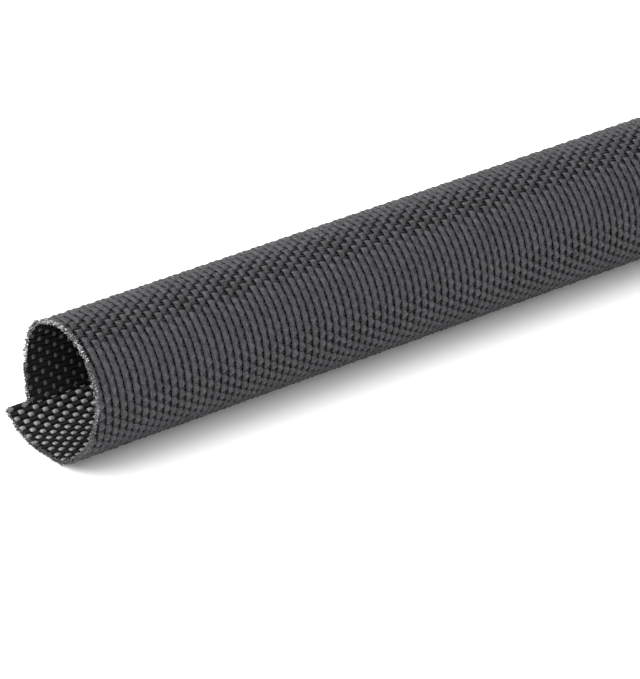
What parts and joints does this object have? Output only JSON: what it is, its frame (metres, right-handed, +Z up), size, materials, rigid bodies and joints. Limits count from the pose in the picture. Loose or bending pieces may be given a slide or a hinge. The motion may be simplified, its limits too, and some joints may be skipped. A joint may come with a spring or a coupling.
{
  "type": "braided cable sleeve",
  "caption": "Self-closing woven cable sleeve: charcoal cloth curled lengthwise into an open scroll, with an overlapping flap and a slit through which cables are laid.",
  "frame": {"origin": "bottom centre of the whole sleeve's bounding box, on the floor that the sleeve lies on", "axes": "+X along the sleeve, from the slanted near end to the square far end; +Y across, towards the tip of the flap and the slit; +Z up"},
  "size_m": [0.5, 0.0202, 0.0204],
  "materials": {
    "charcoal_cloth": "matt woven polyester yarn with a faint sheen, open enough to show dark gaps between its threads"
  },
  "bodies": {
    "root": {"sleeve": "charcoal_cloth"}
  },
  "joints": []
}
